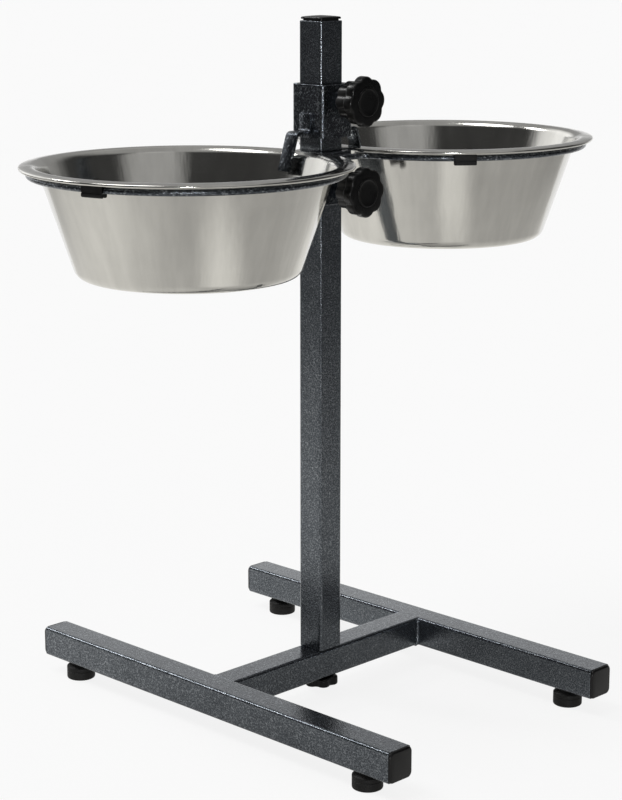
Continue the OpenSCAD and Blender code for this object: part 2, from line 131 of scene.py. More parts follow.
def node_box(name):
    """Lowest and highest corner of a node of the frame, in millimetres."""
    low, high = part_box(name)
    return [value * 1000 for value in low], [value * 1000 for value in high]


def node_middle(name):
    low, high = node_box(name)
    return [(a + b) / 2 for a, b in zip(low, high)]


# Node trees

class Value:
    """A number on a socket; arithmetic on it adds Math nodes."""

    def __init__(self, tree, socket):
        self.tree = tree
        self.socket = socket

    def other(self, output):
        return Value(self.tree, self.socket.node.outputs[output])

    def sum_of(self, operation, first, second):
        return self.tree.node("ShaderNodeMath", {"operation": operation}, {0: first, 1: second})

    def __add__(self, other):
        return self.sum_of("ADD", self, other)

    def __sub__(self, other):
        return self.sum_of("SUBTRACT", self, other)

    def __rsub__(self, other):
        return self.sum_of("SUBTRACT", other, self)

    def __mul__(self, other):
        return self.sum_of("MULTIPLY", self, other)

    def __truediv__(self, other):
        return self.sum_of("DIVIDE", self, other)

    def __pow__(self, other):
        return self.sum_of("POWER", self, other)

    def __abs__(self):
        return self.sum_of("ABSOLUTE", self, 0.0)


class Tree:
    """Makes the nodes of one material, world or geometry tree."""

    def __init__(self, tree):
        self.tree = tree
        tree.nodes.clear()

    def node(self, kind, settings=None, sockets=None, output=0):
        made = self.tree.nodes.new(kind)
        for key, value in (settings or {}).items():
            if key == "stops":
                self.set_stops(made.color_ramp, value)
            else:
                setattr(made, key, value)
        for key, value in (sockets or {}).items():
            if isinstance(value, Value):
                self.tree.links.new(value.socket, made.inputs[key])
            else:
                made.inputs[key].default_value = value
        return Value(self, made.outputs[output]) if made.outputs else made

    def set_stops(self, ramp, stops):
        while len(ramp.elements) < len(stops):
            ramp.elements.new(0.5)
        for element, (position, colour) in zip(ramp.elements, stops):
            element.position = position
            element.color = colour

    def mix(self, amount, first, second):
        return self.node("ShaderNodeMix", {"data_type": "RGBA"}, {0: amount, 6: first, 7: second}, 2)

    def fit(self, value, low, high, new_low=0.0, new_high=1.0, kind="LINEAR"):
        """The level that runs from new_low to new_high while a value runs from low to high."""
        sockets = {0: value, 1: low, 2: high, 3: new_low, 4: new_high}
        return self.node("ShaderNodeMapRange", {"interpolation_type": kind}, sockets)

    def smooth(self, value, low, high, new_low=0.0, new_high=1.0):
        """The same with a soft start and end."""
        return self.fit(value, low, high, new_low, new_high, "SMOOTHSTEP")

    def noise(self, at, scale, detail=2.0, roughness=0.5):
        sockets = {"Vector": at, "Scale": scale, "Detail": detail, "Roughness": roughness}
        return self.node("ShaderNodeTexNoise", {}, sockets)

    def ramp(self, value, *stops):
        return self.node("ShaderNodeValToRGB", {"stops": stops}, {0: value})

    def rays(self, kind):
        return self.node("ShaderNodeLightPath", output=kind)

    def object_point(self):
        return self.node("ShaderNodeTexCoord", output="Object")

    def split(self, vector, output=0):
        return self.node("ShaderNodeSeparateXYZ", {}, {0: vector}, output)

    def vector(self, x, y, z):
        return self.node("ShaderNodeCombineXYZ", {}, {0: x, 1: y, 2: z})

    def bump(self, height, strength, distance):
        sockets = {"Strength": strength, "Distance": distance, "Height": height}
        return self.node("ShaderNodeBump", {}, sockets)

    def shade(self, sockets):
        shader = self.node("ShaderNodeBsdfPrincipled", {}, sockets)
        self.node("ShaderNodeOutputMaterial", {}, {"Surface": shader})


def grey(level, red=1.0, green=1.0, blue=1.0):
    """A grey of one level, tinted by the shares of its colours."""
    return (level * red, level * green, level * blue, 1.0)


def new_finish(name):
    material = bpy.data.materials.new(name)
    material.use_nodes = True
    return material, Tree(material.node_tree)


# Finishes

def hammered_enamel(name, dimple_scale, sparkle):
    """Dark grey enamel with fine silver mottling, a dimpled surface and single bright flakes."""
    material, tree = new_finish(name)
    at = tree.object_point()
    dimples = tree.node("ShaderNodeTexVoronoi", {"feature": "F1"}, {"Vector": at, "Scale": dimple_scale})
    sparks = tree.fit(dimples.other("Color"), 0.62, 0.85)
    flakes = tree.noise(at, 1600.0, detail=2.0, roughness=0.6)
    clouds = tree.noise(at, 30.0, detail=3.0)
    fine = dimples * (0.7 - 0.45 * sparkle) + flakes * (0.9 - 0.45 * sparkle)
    mottle = fine + sparks * sparkle + clouds * 0.2 - 0.4 + 0.1 * sparkle
    colour = tree.ramp(
        mottle,
        (0.2, grey(0.034, 0.85, 0.98, 1.18)),
        (0.45, grey(0.1, 0.88, 0.99, 1.13)),
        (0.7, grey(0.2, 0.92, 1.0, 1.09)),
        (0.9, grey(0.34, 0.94, 1.0, 1.07)))
    tree.shade({
        "Base Color": colour,
        "Metallic": 0.93,
        "Roughness": tree.fit(flakes + clouds * 0.4, 0.4, 0.9, 0.15, 0.27),
        "Coat Weight": 0.1,
        "Coat Roughness": 0.18,
        "Normal": tree.bump(dimples * 0.9 + flakes * 0.4, strength=0.35 + 0.6 * sparkle, distance=0.00025)})
    return material


def polished_steel(middle):
    """Pressed stainless sheet: faint turned lines round the bowl and soft streaks down its wall."""
    material, tree = new_finish("polished_steel")
    at = tree.object_point()
    parts = tree.split(at)
    across = abs(parts.other("X")) - middle[0] / 1000
    along = parts.other("Y") - middle[1] / 1000
    radius = (across * across + along * along) ** 0.5 + 0.0001
    height = parts.other("Z")
    lines = tree.noise(tree.vector(radius, height, 0.0), 2600.0, detail=3.0, roughness=0.65)
    bands = tree.noise(tree.vector(radius, height, 0.3), 90.0, detail=2.0)
    round_it = tree.vector(across / radius, along / radius, height * 2.5)
    on_wall = tree.smooth(radius, 0.068, 0.083)
    streaks = tree.noise(round_it, 7.0, detail=3.0, roughness=0.55)
    streaks = (streaks - 0.5) * on_wall + 0.5
    stains = tree.noise(at, 22.0, detail=3.0)
    worn = bands * 0.1 + streaks * 0.7 + stains * 0.2
    colour = tree.ramp(
        worn,
        (0.35, grey(0.55, 1.0, 0.985, 0.93)),
        (0.65, grey(0.65, 1.0, 0.985, 0.93)))
    tree.shade({
        "Base Color": colour,
        "Metallic": 1.0,
        "Roughness": tree.fit(lines * 0.4 + worn * 0.6, 0.3, 0.7, 0.09, 0.19),
        "Normal": tree.bump(streaks + lines * 0.02, strength=0.12, distance=0.002)})
    return material


def plated_steel():
    """Bright zinc plate with small dull spots."""
    material, tree = new_finish("plated_steel")
    at = tree.object_point()
    spots = tree.noise(at, 700.0, detail=3.0, roughness=0.6)
    clouds = tree.noise(at, 120.0, detail=2.0)
    worn = spots * 0.6 + clouds * 0.4
    tree.shade({
        "Base Color": tree.mix(worn, grey(0.42, 1.0, 0.99, 0.95), grey(0.68, 1.0, 0.99, 0.96)),
        "Metallic": 1.0,
        "Roughness": tree.fit(worn, 0.3, 0.7, 0.2, 0.4),
        "Normal": tree.bump(spots, strength=0.2, distance=0.0001)})
    return material


def moulded_plastic(name, level, shine):
    """Black moulding with a fine spark grain and slightly uneven gloss."""
    material, tree = new_finish(name)
    at = tree.object_point()
    grain = tree.noise(at, 2300.0, detail=2.0, roughness=0.6)
    flow = tree.noise(at, 85.0, detail=3.0)
    tree.shade({
        "Base Color": tree.mix(flow, grey(level * 0.75, 1.0, 1.0, 1.06), grey(level * 1.3, 1.0, 1.0, 1.05)),
        "Roughness": tree.fit(flow + grain * 0.4, 0.4, 1.0, shine, shine + 0.14),
        "IOR": 1.36,
        "Normal": tree.bump(grain * 0.2 + flow, strength=0.12, distance=0.0004)})
    return material


def moulded_rubber():
    """Matt black rubber with a soft grain and pale dust in its low spots."""
    material, tree = new_finish("moulded_rubber")
    at = tree.object_point()
    grain = tree.noise(at, 1300.0, detail=3.0, roughness=0.6)
    dust = tree.noise(at, 160.0, detail=3.0)
    tree.shade({
        "Base Color": tree.mix(tree.fit(dust, 0.35, 0.75), grey(0.004), grey(0.011, 1.0, 0.99, 0.97)),
        "Roughness": tree.fit(grain + dust * 0.5, 0.45, 1.0, 0.5, 0.7),
        "Specular IOR Level": 0.3,
        "Normal": tree.bump(grain, strength=0.25, distance=0.0002)})
    return material


BOWL_MIDDLE = node_middle("right_bowl")
PAINT = hammered_enamel("hammered_enamel", dimple_scale=900.0, sparkle=0.0)
FLAKED_PAINT = hammered_enamel("flaked_enamel", dimple_scale=750.0, sparkle=0.5)
BOWL_STEEL = polished_steel(BOWL_MIDDLE)
PLATE = plated_steel()
KNOB_BLACK = moulded_plastic("knob_plastic", level=0.003, shine=0.24)
CAP_BLACK = moulded_plastic("cap_plastic", level=0.004, shine=0.26)
RUBBER = moulded_rubber()


# Mesh tools

def lofted(rings, closed=False, capped=True):
    """Faces between rings of equal count, whose ends are filled, joined or left as they are."""
    count = len(rings[0])
    points = [point for ring in rings for point in ring]
    pairs = [(index, index + 1) for index in range(len(rings) - 1)]
    if closed:
        pairs.append((len(rings) - 1, 0))
    faces = []
    for a, b in pairs:
        for i in range(count):
            j = (i + 1) % count
            faces.append((a * count + i, a * count + j, b * count + j, b * count + i))
    if capped and not closed:
        faces.append(tuple(range(count)))
        faces.append(tuple(range((len(rings) - 1) * count, len(rings) * count)))
    return points, faces


def clean_mesh(mesh, sharp=32):
    """Merges doubles, turns the faces outwards and keeps only the sharp edges sharp."""
    work = bmesh.new()
    work.from_mesh(mesh)
    bmesh.ops.remove_doubles(work, verts=work.verts, dist=1e-8)
    bmesh.ops.dissolve_degenerate(work, edges=work.edges, dist=1e-8)
    bmesh.ops.recalc_face_normals(work, faces=work.faces)
    for face in work.faces:
        face.smooth = True
    work.to_mesh(mesh)
    work.free()
    mesh.set_sharp_from_angle(angle=radians(sharp))


def mesh_of(name, shape, place=None, sharp=32):
    """A mesh in metres from points and faces in millimetres."""
    points, faces = shape
    mesh = bpy.data.meshes.new(name)
    mesh.from_pydata(points, [], faces)
    mesh.transform(Matrix.Scale(0.001, 4) @ (place or Matrix()))
    clean_mesh(mesh, sharp)
    return mesh


def placed(name, data):
    """A new object in the scene."""
    made = bpy.data.objects.new(name, data)
    bpy.context.scene.collection.objects.link(made)
    return made


def host_of(mesh):
    return placed(mesh.name, mesh)


def baked(host):
    """The evaluated mesh of an object, which is then removed."""
    depsgraph = bpy.context.evaluated_depsgraph_get()
    mesh = bpy.data.meshes.new_from_object(host.evaluated_get(depsgraph))
    bpy.data.objects.remove(host)
    return mesh


def drilled(mesh, *cutters):
    """The mesh with other closed meshes cut out of it."""
    host = host_of(mesh)
    tools = [host_of(cutter) for cutter in cutters]
    for tool in tools:
        cut = host.modifiers.new("cut", "BOOLEAN")
        cut.operation = "DIFFERENCE"
        cut.solver = "EXACT"
        cut.object = tool
    result = baked(host)
    for tool in tools:
        bpy.data.objects.remove(tool)
    clean_mesh(result)
    return result


def eased(mesh, width, steep=60):
    """The mesh with its steep edges broken by a small round."""
    work = bmesh.new()
    work.from_mesh(mesh)
    edges = [edge for edge in work.edges
             if len(edge.link_faces) == 2 and edge.calc_face_angle(0.0) > radians(steep)]
    bmesh.ops.bevel(work, geom=edges, offset=width / 1000, segments=2, profile=0.5, affect="EDGES")
    work.to_mesh(mesh)
    work.free()
    clean_mesh(mesh)
    return mesh


def piece(name, mesh, body, slot, finish, *nodes):
    """A finished piece on its body, in place of the frame's nodes."""
    mesh.materials.clear()
    mesh.materials.append(finish)
    made = placed(name, mesh)
    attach(made, body)
    if nodes:
        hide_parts(*nodes)


# Outlines

def arc(at, radius, start, end, steps=14):
    """Points on an arc between two angles in degrees."""
    points = []
    for step in range(steps + 1):
        turn = radians(start + (end - start) * step / steps)
        points.append((at[0] + radius * cos(turn), at[1] + radius * sin(turn)))
    return points


def square_outline(width, corner, steps=6):
    """A rounded square with a support point at both ends of each flat."""
    reach = width / 2 - corner
    ease = min(0.3, reach / 4)
    points = []
    for index, (x, y) in enumerate(((1, 1), (-1, 1), (-1, -1), (1, -1))):
        turned = arc((x * reach, y * reach), corner, 90 * index, 90 * index + 90, steps)
        start = radians(90 * index)
        first = (turned[0][0] + ease * sin(start), turned[0][1] - ease * cos(start))
        last = (turned[-1][0] - ease * cos(start), turned[-1][1] - ease * sin(start))
        points += [first] + turned + [last]
    return points


def star_outline(reach, lobes, lobe, hollow, inset=0.0):
    """Lobes and hollows as arcs that run smoothly into each other."""
    half = pi / lobes
    lobe_at = reach - lobe
    side = lobe_at * sin(half)
    hollow_at = lobe_at * cos(half) + sqrt((lobe + hollow) ** 2 - side ** 2)
    lean = atan2(hollow_at * sin(half), hollow_at * cos(half) - lobe_at)
    points = []
    for index in range(lobes):
        turn = 2 * half * index
        for step in range(LOBE_STEPS):
            angle = turn + lean * (2 * step / LOBE_STEPS - 1)
            points.append((lobe_at * cos(turn) + (lobe - inset) * cos(angle),
                           lobe_at * sin(turn) + (lobe - inset) * sin(angle)))
        for step in range(HOLLOW_STEPS):
            angle = turn + pi + lean + 2 * (half - lean) * step / HOLLOW_STEPS
            points.append((hollow_at * cos(turn + half) + (hollow + inset) * cos(angle),
                           hollow_at * sin(turn + half) + (hollow + inset) * sin(angle)))
    return points


def circle_like(outline, radius):
    """A circle whose points lie in the same directions as those of an outline."""
    angles = [atan2(y, x) for x, y in outline]
    return [(radius * cos(angle), radius * sin(angle)) for angle in angles]


def at_height(outline, z):
    return [(x, y, z) for x, y in outline]


def square_ring(width, corner, z):
    return at_height(square_outline(width, corner), z)


def star_rings(star, pairs):
    """A lobed ring for each pair of inset and height."""
    return [at_height(star_outline(*star, inset), z) for inset, z in pairs]


def circle_rings(outline, pairs):
    """A circle like an outline for each pair of radius and height."""
    return [at_height(circle_like(outline, radius), z) for radius, z in pairs]


def ring_of(radii, z):
    """Points at equal angles about Z, each at its own radius."""
    ring = []
    for index, radius in enumerate(radii):
        turn = 2 * pi * index / len(radii)
        ring.append((radius * cos(turn), radius * sin(turn), z))
    return ring


def round_edge(radius, steps=4):
    """Pairs of inset and depth along a quarter round, from the face to the side."""
    pairs = []
    for step in range(steps + 1):
        turn = pi / 2 * step / steps
        pairs.append((radius * (1 - sin(turn)), radius * (1 - cos(turn))))
    return pairs


def turned(profile, segments, closed=False):
    """A profile of radius and height, turned about Z."""
    rings = [ring_of([radius] * segments, z) for radius, z in profile]
    return lofted(rings, closed, capped=False)


FACING_FRONT = Matrix.Rotation(radians(90), 4, "X")


# Square tubes

def tube_mesh(name, axis, middle, start, end, width, corner, wall):
    """A square tube with broken edges, along X, Y or Z."""
    inner = width - 2 * wall
    inner_corner = max(corner - wall, LEAST_CORNER)
    sections = [
        (start, width - 2 * EDGE_BREAK, corner - EDGE_BREAK), (start + EDGE_BREAK, width, corner),
        (end - EDGE_BREAK, width, corner), (end, width - 2 * EDGE_BREAK, corner - EDGE_BREAK),
        (end, inner, inner_corner), (start, inner, inner_corner)]
    rings = []
    for place, across, rounding in sections:
        outline = square_outline(across, rounding)
        if axis == "X":
            ring = [(place, middle[1] + u, middle[2] + v) for u, v in outline]
        elif axis == "Y":
            ring = [(middle[0] + u, place, middle[2] + v) for u, v in outline]
        else:
            ring = [(middle[0] + u, middle[1] + v, place) for u, v in outline]
        rings.append(ring)
    return mesh_of(name, lofted(rings, closed=True))


def drill(middle, axis, radius, length):
    """A plain round cutter through a point, along Y or Z."""
    half = length / 2
    shape = turned([(0, -half), (radius, -half), (radius, half), (0, half)], DRILL_STEPS)
    place = Matrix.Translation(middle) @ (FACING_FRONT if axis == "Y" else Matrix())
    return mesh_of("drill", shape, place)


def base_tubes():
    """The floor bars, the crossbar between them and the post."""
    for side in SIDES:
        low, high = node_box(side + "_bar")
        middle = node_middle(side + "_bar")
        mesh = tube_mesh(side + "_floor_bar", "Y", middle, low[1], high[1],
                         high[0] - low[0], TUBE_CORNER, TUBE_WALL)
        piece(side + "_floor_bar", mesh, "base", "hammered_paint", PAINT, side + "_bar")
    low, high = node_box("crossbar")
    middle = node_middle("crossbar")
    width = high[2] - low[2]
    # The ends run on over the rounded edges of the bars, where the weld is ground flush
    run_on = TUBE_CORNER - 0.05
    mesh = tube_mesh("cross_tube", "X", middle, low[0] - run_on, high[0] + run_on,
                     width, TUBE_CORNER, TUBE_WALL)
    mesh = drilled(mesh, drill(middle, "Z", SCREW_R + HOLE_PLAY, 2 * width))
    piece("cross_tube", mesh, "base", "hammered_paint", PAINT, "crossbar")
    low, high = node_box("post")
    mesh = tube_mesh("upright_post", "Z", node_middle("post"), low[2], high[2],
                     high[0] - low[0], TUBE_CORNER, TUBE_WALL)
    piece("upright_post", mesh, "base", "hammered_paint", PAINT, "post")


def sleeves():
    """The two sleeves on the post, each with a hole for its clamp screw."""
    for body in CLAMPED:
        low, high = node_box(body + "_sleeve")
        middle = node_middle(body + "_sleeve")
        screw = node_middle(body + "_screw")
        mesh = tube_mesh(body + "_sleeve_tube", "Z", middle, low[2], high[2],
                         high[0] - low[0], SLEEVE_CORNER, SLEEVE_WALL)
        mesh = drilled(mesh, drill((0, low[1], screw[2]), "Y", SCREW_R + HOLE_PLAY, 4 * SLEEVE_WALL))
        piece(body + "_sleeve_tube", mesh, body, "hammered_paint", FLAKED_PAINT, body + "_sleeve")


# Geometry trees

def geometry_tree(name, inputs):
    """A new geometry tree with named inputs, and the node that gives them."""
    group = bpy.data.node_groups.new(name, "GeometryNodeTree")
    group.interface.new_socket("Geometry", in_out="INPUT", socket_type="NodeSocketGeometry")
    group.interface.new_socket("Geometry", in_out="OUTPUT", socket_type="NodeSocketGeometry")
    for label, kind in inputs:
        group.interface.new_socket(label, in_out="INPUT", socket_type=kind)
    tree = Tree(group)
    return group, tree, tree.node("NodeGroupInput", output="Geometry")


def end_tree(tree, shape, material, smooth=True):
    """Ends a geometry tree with a plain mesh in one material."""
    if smooth:
        shape = tree.node("GeometryNodeSetShadeSmooth", {}, {0: shape})
    shape = tree.node("GeometryNodeRealizeInstances", {}, {0: shape})
    shape = tree.node("GeometryNodeSetMaterial", {}, {0: shape, "Material": material})
    tree.node("NodeGroupOutput", {}, {0: shape})


def grown(name, source, group, inputs):
    """The plain mesh that a geometry tree makes from a source mesh."""
    host = host_of(source)
    modifier = host.modifiers.new(name, "NODES")
    modifier.node_group = group
    for item in group.interface.items_tree:
        if item.in_out == "INPUT" and item.name in inputs:
            modifier[item.identifier] = inputs[item.name]
    mesh = baked(host)
    mesh.name = name
    return mesh


def path_mesh(name, paths, closes):
    """Edges along paths in millimetres, all of them closed or all open."""
    points = []
    edges = []
    for path in paths:
        first = len(points)
        points += [tuple(value / 1000 for value in point) for point in path]
        edges += [(index, index + 1) for index in range(first, len(points) - 1)]
        if closes:
            edges.append((len(points) - 1, first))
    mesh = bpy.data.meshes.new(name)
    mesh.from_pydata(points, edges, [])
    return mesh


def bent_wire_tree(material):
    """Round wire along a path."""
    group, tree, start = geometry_tree(
        "bent_wire", [("Wire radius", "NodeSocketFloat"), ("Sides", "NodeSocketInt")])
    path = tree.node("GeometryNodeMeshToCurve", {}, {0: start})
    section = tree.node("GeometryNodeCurvePrimitiveCircle", {}, {
        "Resolution": start.other("Sides"), "Radius": start.other("Wire radius")})
    wire = tree.node("GeometryNodeCurveToMesh", {}, {"Curve": path, "Profile Curve": section})
    end_tree(tree, wire, material)
    return group


def weld_bead_tree(material):
    """Overlapping drops of weld along a path, no two quite the same size."""
    group, tree, start = geometry_tree("weld_bead", [
        ("Drop radius", "NodeSocketFloat"), ("Spacing", "NodeSocketFloat"), ("Seed", "NodeSocketInt")])
    smallest = 0.82
    largest = 1.15
    path = tree.node("GeometryNodeMeshToCurve", {}, {0: start})
    steps = tree.node("GeometryNodeResampleCurve", {"mode": "LENGTH"}, {
        "Curve": path, "Length": start.other("Spacing")})
    drop = tree.node("GeometryNodeMeshUVSphere", {}, {
        "Segments": 9, "Rings": 6, "Radius": start.other("Drop radius")})
    size = tree.node("FunctionNodeRandomValue", {"data_type": "FLOAT"}, {
        2: smallest, 3: largest, "Seed": start.other("Seed")}, 1)
    drops = tree.node("GeometryNodeInstanceOnPoints", {}, {
        "Points": steps, "Instance": drop, "Scale": size})
    end_tree(tree, drops, material)
    return group


def set_out_tree(name, material):
    """Copies of one shape on points, each turned as its point says."""
    group, tree, start = geometry_tree(name, [("Shape", "NodeSocketObject")])
    shape = tree.node("GeometryNodeObjectInfo", {}, {"Object": start.other("Shape")}, "Geometry")
    turn = tree.node("GeometryNodeInputNamedAttribute", {"data_type": "FLOAT_VECTOR"}, {"Name": "turn"})
    copies = tree.node("GeometryNodeInstanceOnPoints", {}, {
        "Points": start, "Instance": shape, "Rotation": turn})
    end_tree(tree, copies, material, smooth=False)
    return group


def set_out(name, shape, places, material):
    """One mesh with a copy of the shape at each place: a point in millimetres and a turn about Z."""
    source = bpy.data.meshes.new(name + "_points")
    source.from_pydata([tuple(value / 1000 for value in point) for point, turn in places], [], [])
    turns = source.attributes.new("turn", "FLOAT_VECTOR", "POINT")
    for index, (point, turn) in enumerate(places):
        turns.data[index].vector = (0.0, 0.0, radians(turn))
    pattern = host_of(shape)
    mesh = grown(name, source, set_out_tree("set_out_" + name, material), {"Shape": pattern})
    bpy.data.objects.remove(pattern)
    return mesh


# Base fittings

def end_caps():
    """Caps with rounded edges on the ends of the floor bars, each on a plug in its tube."""
    low, high = node_box("left_bar")
    width = high[0] - low[0]
    thick = low[1] - node_box("left_front_cap")[0][1]
    plug = width - 2 * TUBE_WALL - CAP_PLUG_PLAY
    lead = 0.6
    bevel = 0.25
    rings = [square_ring(plug - 2 * lead, PLUG_CORNER - lead, -PLUG_LEN),
             square_ring(plug, PLUG_CORNER, lead - PLUG_LEN),
             square_ring(plug, PLUG_CORNER, 0.0),
             square_ring(width - 2 * bevel, CAP_CORNER - 0.8 * bevel, 0.0),
             square_ring(width, CAP_CORNER, bevel)]
    for inset, depth in reversed(round_edge(CAP_ROUND)):
        rings.append(square_ring(width - 2 * inset, CAP_CORNER - 0.6 * inset, thick - depth))
    shape = mesh_of("end_cap", lofted(rings), FACING_FRONT)
    places = []
    for side in SIDES:
        low, high = node_box(side + "_bar")
        middle = node_middle(side + "_bar")
        places.append(((middle[0], low[1], middle[2]), 0))
        places.append(((middle[0], high[1], middle[2]), 180))
    mesh = set_out("bar_end_caps", shape, places, CAP_BLACK)
    nodes = [corner + "_cap" for corner in CORNERS]
    piece("bar_end_caps", mesh, "base", "black_plastic", CAP_BLACK, *nodes)


def feet():
    """Round rubber feet with a groove, and the cross-slotted screws that hold them."""
    nodes = [corner + "_foot" for corner in CORNERS]
    places = []
    for node in nodes:
        middle = node_middle(node)
        places.append(((middle[0], middle[1], 0), 0))
    shape = mesh_of("foot", turned(FOOT, FOOT_STEPS, closed=True), sharp=40)
    mesh = set_out("rubber_feet", shape, places, RUBBER)
    piece("rubber_feet", mesh, "base", "black_rubber", RUBBER, *nodes)
    shape = mesh_of("foot_screw", turned(FOOT_SCREW, FOOT_SCREW_STEPS))
    face = FOOT_SCREW[0][1]
    wide = [(-2.1, -0.45), (2.1, -0.45), (2.1, 0.45), (-2.1, 0.45)]
    deep = [(-1.0, -0.35), (1.0, -0.35), (1.0, 0.35), (-1.0, 0.35)]
    rings = [at_height(wide, face - 0.5), at_height(wide, face + 0.2), at_height(deep, face + 1.6)]
    slots = []
    for turn in (0, 90):
        slots.append(mesh_of("cross_slot", lofted(rings), Matrix.Rotation(radians(turn), 4, "Z")))
    mesh = set_out("foot_screw_set", drilled(shape, *slots), places, PLATE)
    piece("foot_screw_set", mesh, "base", "plated_steel", PLATE, "foot_screws")


def post_lid():
    """A domed lid that stands off the post on a neck."""
    low, high = node_box("post_cap")
    post_top = node_box("post")[1][2]
    edge = high[2] - LID_RISE
    under = edge - LID_T
    reach = LID_W / sqrt(2)
    dome_r = (reach ** 2 + LID_RISE ** 2) / (2 * LID_RISE)
    rings = [square_ring(LID_PLUG_W, PLUG_CORNER, low[2]),
             square_ring(LID_PLUG_W, PLUG_CORNER, post_top),
             square_ring(LID_NECK_W, PLUG_CORNER, post_top),
             square_ring(LID_NECK_W, PLUG_CORNER, under),
             square_ring(LID_W - 0.6, LID_CORNER - 0.2, under),
             square_ring(LID_W, LID_CORNER, under + 0.3),
             square_ring(LID_W, LID_CORNER, edge - 0.45),
             square_ring(LID_W - 0.3, LID_CORNER - 0.1, edge - 0.15)]
    for share in (0.96, 0.85, 0.7, 0.5, 0.3, 0.12):
        ring = []
        for x, y in square_outline(LID_W * share, max(LID_CORNER * share, 0.3)):
            drop = dome_r - sqrt(dome_r ** 2 - x * x - y * y)
            ring.append((x, y, high[2] - drop))
        rings.append(ring)
    mesh = mesh_of("post_lid", lofted(rings))
    piece("post_lid", mesh, "base", "black_plastic", CAP_BLACK, "post_cap")


# Screws, nuts and knobs

def threaded_mesh(name, length, place):
    """A screw along Z whose thread winds up its whole length."""
    root = SCREW_R - 0.61 * THREAD_PITCH
    lead = 1.0
    valley = 0.15
    flank = 0.65
    rows = int(length / THREAD_PITCH * THREAD_ROWS)
    rings = []
    for row in range(rows + 1):
        z = length * row / rows
        limit = SCREW_R - lead + min(z, length - z)
        radii = []
        for column in range(THREAD_COLUMNS):
            phase = (z / THREAD_PITCH - column / THREAD_COLUMNS) % 1.0
            rise = (abs(2 * phase - 1) - valley) / flank
            radius = root + (SCREW_R - root) * min(max(rise, 0.0), 1.0)
            radii.append(min(radius, limit))
        rings.append(ring_of(radii, z))
    return mesh_of(name, lofted(rings), place, sharp=75)


def knob_screws():
    for body in CLAMPED:
        low, high = node_box(body + "_screw")
        middle = node_middle(body + "_screw")
        place = Matrix.Translation((0, low[1], middle[2])) @ Matrix.Rotation(radians(-90), 4, "X")
        mesh = threaded_mesh(body + "_clamp_screw", high[1] - low[1], place)
        piece(body + "_clamp_screw", mesh, body + "_screw", "plated_steel", PLATE, body + "_screw")
    low, high = node_box("base_screw")
    mesh = threaded_mesh("post_screw", high[2] - low[2], Matrix.Translation((0, 0, low[2])))
    piece("post_screw", mesh, "base_screw", "plated_steel", PLATE, "base_screw")


def weld_nuts():
    """Six-sided nuts on the sleeves, chamfered at the outer end."""
    flats = []
    for index in range(ROUND_STEPS):
        turn = 2 * pi * index / ROUND_STEPS
        lean = (turn % (pi / 3)) - pi / 6
        flats.append(NUT_FLAT / cos(lean))
    for body in CLAMPED:
        low, high = node_box(body + "_nut")
        middle = node_middle(body + "_nut")
        tall = high[1] - low[1]
        outside = ((9, 0), (9, tall - 1.3), (7.3, tall - 0.9), (6.95, tall - 0.5), (6.2, tall))
        bore = ((4.9, tall), (BORE_R, tall - 0.6), (BORE_R, 0))
        rings = [ring_of([min(flat, limit) for flat in flats], z) for limit, z in outside]
        rings += [ring_of([radius] * ROUND_STEPS, z) for radius, z in bore]
        place = Matrix.Translation((0, high[1], middle[2])) @ FACING_FRONT
        mesh = mesh_of(body + "_weld_nut", lofted(rings, closed=True), place)
        piece(body + "_weld_nut", mesh, body, "hammered_paint", FLAKED_PAINT, body + "_nut")


def star_knob_mesh(name, place):
    """A fluted hub and a lobed head, with a seat for a cap and a socket for the screw."""
    back_round = 1.0
    fillet = 0.8
    round_like = star_outline(*HEAD_STAR)
    socket = ((0.0, KNOB_SOCKET), (BORE_R, KNOB_SOCKET), (BORE_R, 0.4), (4.6, 0.0))
    seat = ((12.4, 21.15), (11.9, 21.15), (11.6, 20.95), (11.6, 19.8), (0.0, 19.8))
    rings = circle_rings(round_like, socket)
    rings += star_rings(HUB_STAR, round_edge(back_round))
    rings += star_rings(HUB_STAR, [(0.0, HUB_LEN - fillet)])
    rings += star_rings(HUB_STAR, [(inset - fillet, HUB_LEN - depth)
                                   for inset, depth in round_edge(fillet, 3)[:-1]])
    rounding = round_edge(HEAD_ROUND, 6)
    rings += star_rings(HEAD_STAR, [(inset, HUB_LEN + depth) for inset, depth in rounding])
    rings += star_rings(HEAD_STAR, [(inset, HEAD_EDGE - depth) for inset, depth in reversed(rounding)])
    rings += circle_rings(round_like, seat)
    return mesh_of(name, lofted(rings, capped=False), place)


def sleeve_knobs():
    """The knobs of the two clamp screws and the caps in their faces."""
    for body in CLAMPED:
        high = node_box(body + "_knob")[1]
        middle = node_middle(body + "_knob")
        turn = Matrix.Rotation(radians(KNOB_TURN), 4, "Z")
        place = Matrix.Translation((0, high[1], middle[2])) @ FACING_FRONT @ turn
        mesh = star_knob_mesh(body + "_star_knob", place)
        piece(body + "_star_knob", mesh, body + "_knob", "black_plastic", KNOB_BLACK, body + "_knob")
        high = node_box(body + "_knob_cap")[1]
        middle = node_middle(body + "_knob_cap")
        place = Matrix.Translation((0, high[1], middle[2])) @ FACING_FRONT
        mesh = mesh_of(body + "_face_cap", turned(FACE_CAP, ROUND_STEPS), place)
        piece(body + "_face_cap", mesh, body + "_knob", "black_plastic", KNOB_BLACK, body + "_knob_cap")


